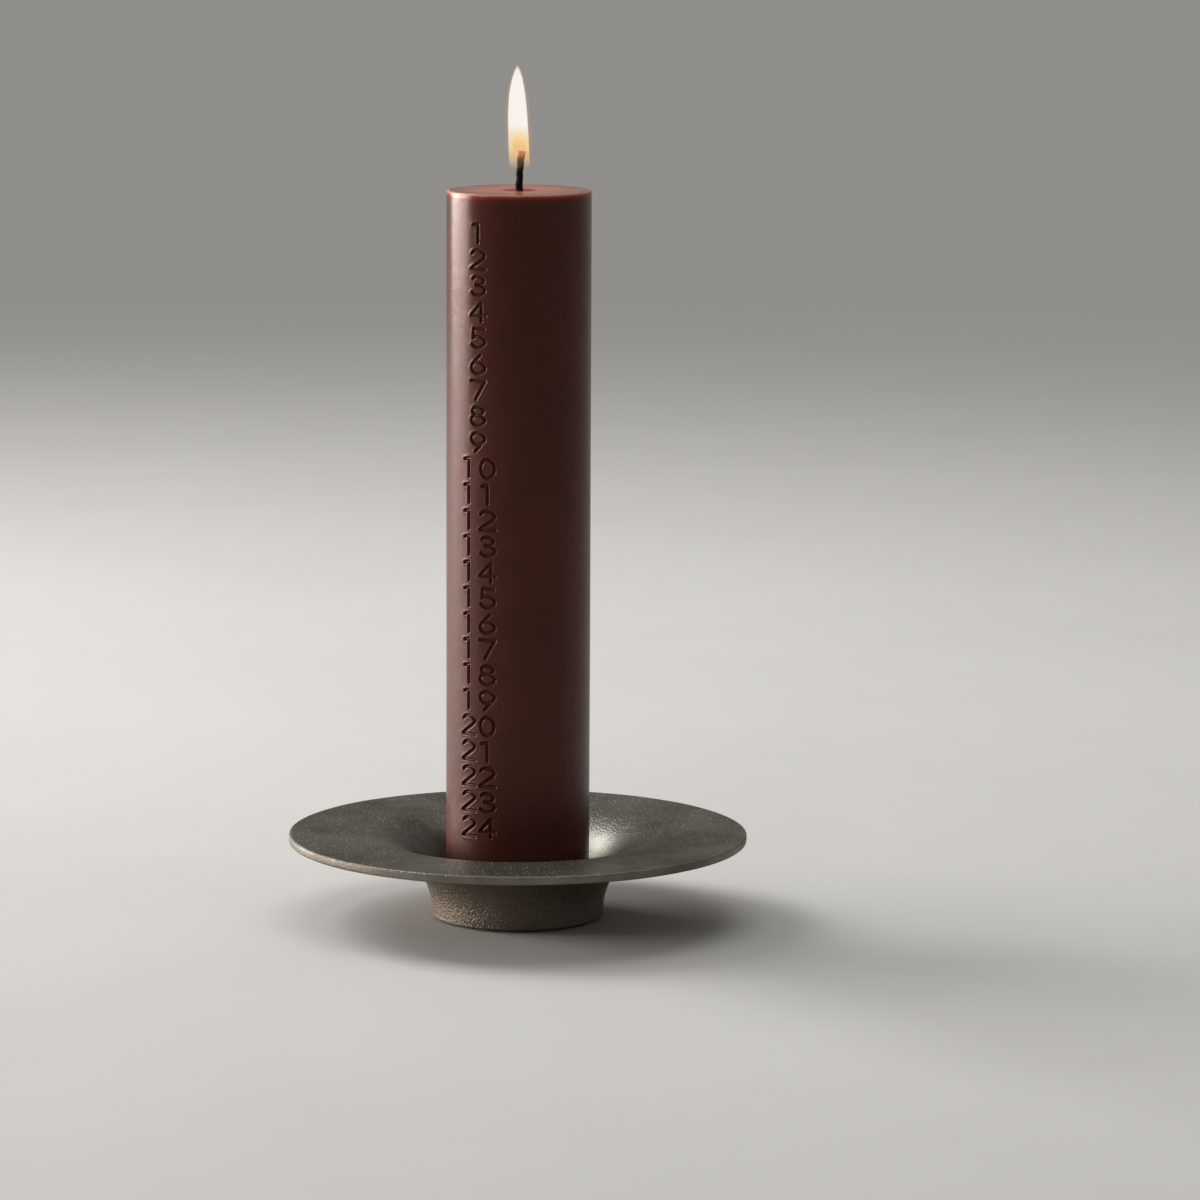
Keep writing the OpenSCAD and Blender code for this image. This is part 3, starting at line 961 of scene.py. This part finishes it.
clip = {
    "tin": {"Size": 3.5, "Low": paint(168, 168, 164), "High": paint(196, 196, 192),
            "Fleck": paint(120, 104, 84), "Fleck Size": 0.9, "Fleck Share": 0.2},
    "roughness": (0.28, 0.42),
    "rolled": {"Size": 0.6, "Soft": 0.5, "Pits": 0.2},
    "rolledDepth": 0.02,
}


def makeTinMaterial():
    material, tree, shader, place = newMaterial("tinplate")
    clouds = useGroup(tree, mottle, place, clip["tin"])
    feed(tree, shader, {"Base Color": clouds["Colour"], "Metallic": 1.0,
                        "Roughness": between(tree, clouds["Cloud"], 0.0, 1.0, *clip["roughness"])})
    addBump(tree, shader, useGroup(tree, grain, place, clip["rolled"])["Height"], clip["rolledDepth"])
    return material


def finishClip():
    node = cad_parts["wick_clip"]
    node.data.materials.clear()
    node.data.materials.append(makeTinMaterial())
    print("wick_clip keeps its CAD shape")


# liquid wax

pool = {
    "drop": 0.35,
    "climb": 0.14,          # mm that the liquid creeps up the wick and the wall
    "collar": 0.05,         # mm more against the wick
    # from the wall to the wick: radius, mm over the level, parts
    "surface": ((4.73, 0.05, 2), (4.38, 0.0, 3), (1.75, 0.0, 10), (1.45, 0.03, 2)),
    "wickRadius": 1.22,
    "gap": 0.02,            # to the hollow's floor
    "turnSteps": 96,
    "liquid": {"Size": 3.0, "Low": paint(104, 26, 16), "High": paint(150, 46, 28),
               "Fleck": paint(160, 60, 38), "Fleck Size": 0.5, "Fleck Share": 0.15},
    "roughness": (0.22, 0.3),
    "ior": 1.44,
    "specular": 0.3,
    "ripple": {"Size": 2.2, "Soft": 0.5, "Pits": 0.0},
    "rippleDepth": 0.04,
}


def makeLiquidMaterial():
    material, tree, shader, place = newMaterial("liquidWax")
    clouds = useGroup(tree, mottle, place, pool["liquid"])
    feed(tree, shader, {"Base Color": clouds["Colour"], "IOR": pool["ior"],
                        "Roughness": between(tree, clouds["Cloud"], 0.0, 1.0, *pool["roughness"]),
                        "Specular IOR Level": pool["specular"]})
    addBump(tree, shader, useGroup(tree, grain, place, pool["ripple"])["Height"], pool["rippleDepth"])
    return material


def makePool():
    size = pool
    level = waxTop - size["drop"]
    ballRadius = hollowRadius() - size["gap"]
    lowest = waxTop - pillar["poolDepth"] + size["gap"]
    boreTurn = math.degrees(math.asin(pillar["boreRadius"] / ballRadius))
    wallTurn = math.degrees(math.acos(1 - (level + size["climb"] - lowest) / ballRadius))
    startX = ballRadius * math.sin(math.radians(boreTurn))
    startZ = lowest + ballRadius * (1 - math.cos(math.radians(boreTurn)))
    bm = drawOutline((startX, startZ), [
        (0, lowest + ballRadius, wallTurn - boreTurn, 12),
        *[(radius, level + up, parts) for radius, up, parts in size["surface"]],
        (size["wickRadius"], level + size["climb"], 2),
        (startX, level + size["climb"] + size["collar"], 1),
        (startX, startZ, 2),
    ])
    turnOutline(bm, size["turnSteps"])
    return finishPiece(bm, "meltedPool", makeLiquidMaterial(), "candle", "melt_pool")


# flame: zones inside one another, a faint glow outermost

flame = {
    "radius": 3.55,
    "cupHeight": 3.0,
    "taper": 3.6,           # powers of the curve from the cup to the tip
    "bluntness": 0.72,
    "rings": 60,
    "turnSteps": 48,
    "flickerSize": 5.0,
    "flickerReach": 1.6,    # mm
    "frontCover": (0.15, 0.3, 0.2, 0.4),    # two height shares, and the cover of the front wall there
    "side": 34.0,           # degrees, the direction that counts as aside
    # height share and how far aside the middle is there, mm
    "sway": ((0.0, 0.15), (0.3, -0.25), (0.5, -0.55), (0.75, -0.78), (1.0, -0.66)),
    # width share, foot and tip as height shares, then colour and cover at height shares
    "zones": {
        "flameGlow": {
            "width": 1.26, "foot": 0.02, "tip": 1.0,
            "colour": ((0.0, paint(255, 160, 110)), (0.3, paint(255, 168, 110)), (1.0, paint(255, 190, 130))),
            "cover": ((0.0, 0.0), (0.14, 0.0), (0.34, 0.08), (0.7, 0.09), (0.92, 0.06), (1.0, 0.0)),
        },
        "flameMantle": {
            "width": 1.0, "foot": 0.0, "tip": 0.99,
            "colour": ((0.0, paint(236, 186, 156)), (0.16, paint(252, 204, 146)),
                       (0.26, paint(254, 226, 168)), (0.4, paint(252, 236, 212)),
                       (0.85, paint(252, 232, 200)), (1.0, paint(252, 208, 142))),
            "cover": ((0.0, 0.0), (0.04, 0.06), (0.1, 0.48), (0.2, 0.68), (0.4, 0.42), (0.85, 0.42),
                      (1.0, 0.7)),
        },
        "flameCore": {
            "width": 0.94, "foot": 0.1, "tip": 0.965,
            "colour": ((0.0, paint(250, 206, 140)), (0.2, paint(255, 224, 156)), (0.3, paint(252, 232, 184)),
                       (0.42, paint(248, 246, 243)), (1.0, paint(246, 246, 249))),
            "cover": ((0.0, 0.0), (0.14, 0.04), (0.2, 0.2), (0.3, 0.34), (0.44, 1.0), (1.0, 1.0)),
        },
        "flameHollow": {
            "width": 0.58, "foot": 0.13, "tip": 0.44,
            "colour": ((0.0, paint(200, 110, 40)), (0.2, paint(224, 140, 50)), (0.28, paint(244, 190, 84)),
                       (0.4, paint(255, 226, 140))),
            "cover": ((0.0, 0.0), (0.17, 0.0), (0.26, 0.75), (0.32, 0.6), (0.42, 0.0)),
        },
    },
}


def flameWidth(share):
    # half the flame's width at a share of its height
    size = flame
    cup = size["cupHeight"] / (flameTip - flameFoot)
    if share < cup:
        return size["radius"] * math.sqrt(max(0, 1 - (1 - share / cup) ** 2))
    up = (share - cup) / (1 - cup)
    return size["radius"] * (1 - up ** size["taper"]) ** size["bluntness"]


def addRamp(tree, share, stops):
    # stops: share and colour, or share and grey value
    ramp = put(tree, "ShaderNodeValToRGB", {"Fac": share})
    elements = ramp.color_ramp.elements
    for i, (at, value) in enumerate(stops):
        stop = elements[i] if i < 2 else elements.new(at)
        stop.position = at
        stop.color = value if isinstance(value, tuple) else (value, value, value, 1)
    return ramp.outputs["Color"]


def makeZoneMaterial(name, zone):
    material, tree, shader, place = newMaterial(name)
    flicker = calc(tree, "SUBTRACT", noisy(tree, sized(tree, place, flame["flickerSize"]), 2.0), 0.5)
    height = raised(tree, heightInMm(tree, place), flicker, flame["flickerReach"])
    share = put(tree, "ShaderNodeMapRange",
                {"Value": height, "From Min": flameFoot, "From Max": flameTip}).outputs["Result"]
    # low down, the wall in front of the wick is thinner than the one behind it
    behind = put(tree, "ShaderNodeNewGeometry").outputs["Backfacing"]
    thin = calc(tree, "MAXIMUM", behind, between(tree, share, *flame["frontCover"]))
    cover = calc(tree, "MULTIPLY", addRamp(tree, share, zone["cover"]), thin)
    feed(tree, shader, {"Base Color": (0, 0, 0, 1), "Roughness": 1.0, "Specular IOR Level": 0.0,
                        "Emission Color": addRamp(tree, share, zone["colour"]),
                        "Emission Strength": 1.0, "Alpha": cover})
    return material


def makeFlame():
    size = flame
    tall = flameTip - flameFoot
    turn = math.radians(size["side"])
    side = Vector((math.cos(turn), math.sin(turn)))
    swayAt, swayBy = zip(*size["sway"])
    for name, zone in size["zones"].items():
        bm = drawOutline((0, 0), [(0, 1, size["rings"])])
        for vert in bm.verts:
            along = 0.5 - 0.5 * math.cos(math.pi * vert.co.z)      # closer rings at both ends
            share = zone["foot"] + along * (zone["tip"] - zone["foot"])
            vert.co.x = flameWidth(along) * zone["width"]
            vert.co.z = flameFoot + share * tall
        turnOutline(bm, size["turnSteps"])
        for vert in bm.verts:
            share = (vert.co.z - flameFoot) / tall
            vert.co.xy += side * float(np.interp(share, swayAt, swayBy))
        piece = finishPiece(bm, name, makeZoneMaterial(name, zone), "candle", "flame")
        piece.visible_shadow = False


# studio

studio = {
    "floorRadius": 30.0,
    "floor": {"Size": 300.0, "Low": paint(204, 202, 198), "High": paint(208, 206, 202),
              "Fleck": paint(208, 206, 202), "Fleck Size": 3.0, "Fleck Share": 0.3},
    "floorRoughness": 0.8,
    "floorBounce": paint(138, 136, 132),    # what the floor gives back as light
    "feltMargin": 1.0,      # mm of the felt that still hide the clear middle of the floor
    "backdrop": paint(144, 142, 138),
    "backdropStarts": (0.4, 2.3),   # metres from the object
    "sky": paint(226, 224, 220),
    "skyStrength": 0.25,
    # name: direction in degrees round the object, height, distance, height it aims at, width, tall,
    # watts, colour
    "lamps": {
        "keySoftbox": (-76, 0.43, 3.0, 0.42, 2.4, 0.84, 122.0, (1.0, 0.95, 0.915)),
        "sideSoftbox": (-94, 1.44, 1.68, 0.02, 1.1, 1.1, 32.0, (0.98, 0.99, 1.0)),
        "frontFill": (9, 1.5, 2.2, 0.14, 1.4, 1.0, 4.0, (1.0, 1.0, 1.0)),
        "topFill": (200, 2.1, 0.5, 0.14, 1.6, 1.6, 13.0, (0.98, 0.99, 1.0)),
    },
}


def seenRay(tree):
    # 1 for what the camera, a reflection or a clear body sees, 0 for light on surfaces
    path = put(tree, "ShaderNodeLightPath").outputs
    seen = calc(tree, "MAXIMUM", path["Is Camera Ray"], path["Is Glossy Ray"])
    return calc(tree, "MAXIMUM", seen, path["Is Transmission Ray"])


def mixShaders(tree, share, first, second):
    return put(tree, "ShaderNodeMixShader", {0: share, 1: first, 2: second}).outputs[0]


def makeFloor():
    bm = bmesh.new()
    bmesh.ops.create_circle(bm, cap_ends=True, radius=studio["floorRadius"], segments=64)
    mesh = bpy.data.meshes.new("floor")
    bm.to_mesh(mesh)
    bm.free()
    floor = addObject("floor", mesh)
    material, tree, shader, place = newMaterial("paleFloor")
    clouds = useGroup(tree, mottle, place, studio["floor"])["Colour"]
    feed(tree, shader, {"Base Color": blendColour(tree, seenRay(tree), studio["floorBounce"], clouds),
                        "Roughness": studio["floorRoughness"]})
    # far from the object the floor turns into the plain backdrop, for the eye and for reflections only
    away = lengthOf(tree, place)
    far = calc(tree, "MULTIPLY", between(tree, away, *studio["backdropStarts"]), seenRay(tree))
    plain = put(tree, "ShaderNodeEmission", {"Color": studio["backdrop"], "Strength": 1.0}).outputs[0]
    surface = mixShaders(tree, far, shader.outputs[0], plain)
    # seen from below, it lets the underside show, and light comes up to the felt that covers its middle
    below = put(tree, "ShaderNodeNewGeometry").outputs["Backfacing"]
    covered = calc(tree, "LESS_THAN", away, (felt["radius"] - studio["feltMargin"]) * mmToM)
    clear = put(tree, "ShaderNodeBsdfTransparent").outputs[0]
    surface = mixShaders(tree, calc(tree, "MAXIMUM", below, covered), surface, clear)
    output = [node for node in tree.nodes if node.type == "OUTPUT_MATERIAL"][0]
    feed(tree, output, {"Surface": surface})
    mesh.materials.append(material)


def makeLamps():
    world = bpy.data.worlds.new("studio")
    bpy.context.scene.world = world
    world.use_nodes = True
    tree = world.node_tree
    tree.nodes.clear()
    light = put(tree, "ShaderNodeBackground", {"Color": studio["sky"], "Strength": studio["skyStrength"]})
    seen = put(tree, "ShaderNodeBackground", {"Color": studio["backdrop"], "Strength": 1.0})
    sky = mixShaders(tree, seenRay(tree), light.outputs[0], seen.outputs[0])
    put(tree, "ShaderNodeOutputWorld", {"Surface": sky})
    for name, (around, height, away, aimHeight, wide, tall, watts, colour) in studio["lamps"].items():
        lamp = bpy.data.lights.new(name, "AREA")
        lamp.shape, lamp.size, lamp.size_y = "RECTANGLE", wide, tall
        lamp.energy, lamp.color = watts, colour
        stand = addObject(name, lamp)
        turn = math.radians(around)
        stand.location = (away * math.sin(turn), -away * math.cos(turn), height)
        stand.rotation_mode = "QUATERNION"
        stand.rotation_quaternion = (Vector((0, 0, aimHeight)) - stand.location).to_track_quat("-Z", "Y")
        stand.visible_camera = False


shot = {
    "around": 34.0,         # degrees to the right of the numerals
    "tilt": 8.71,           # degrees down
    "distance": 1.944,
    "height": 0.1119,       # of the point on the axis that the distance is from
    "aside": 0.0284,        # the camera looks this far to the right of it
    "roll": 0.25,           # degrees
    "lens": 167.8,
    "sensor": 36.0,
}


def makeCamera():
    around, tilt = math.radians(shot["around"]), math.radians(shot["tilt"])
    back = Vector((math.sin(around) * math.cos(tilt), -math.cos(around) * math.cos(tilt), math.sin(tilt)))
    right = Vector((math.cos(around), math.sin(around), 0))
    point = Vector((0, 0, shot["height"]))
    data = bpy.data.cameras.new("photoCamera")
    data.lens = shot["lens"]
    data.sensor_width = shot["sensor"]
    camera = addObject("photoCamera", data)
    camera.location = point + back * shot["distance"]
    camera.rotation_mode = "QUATERNION"
    aim = point + right * shot["aside"]
    camera.rotation_quaternion = ((aim - camera.location).to_track_quat("-Z", "Y")
                                  @ Quaternion((0, 0, 1), math.radians(shot["roll"])))
    bpy.context.scene.camera = camera


makeHolder()
makeFelt()
makePillar()
makeWick()
finishClip()
makePool()
makeFlame()
print("pieces made")

makeFloor()
makeLamps()
makeCamera()
bpy.context.scene.view_settings.view_transform = "Standard"
print("studio ready")

bpy.context.view_layer.update()
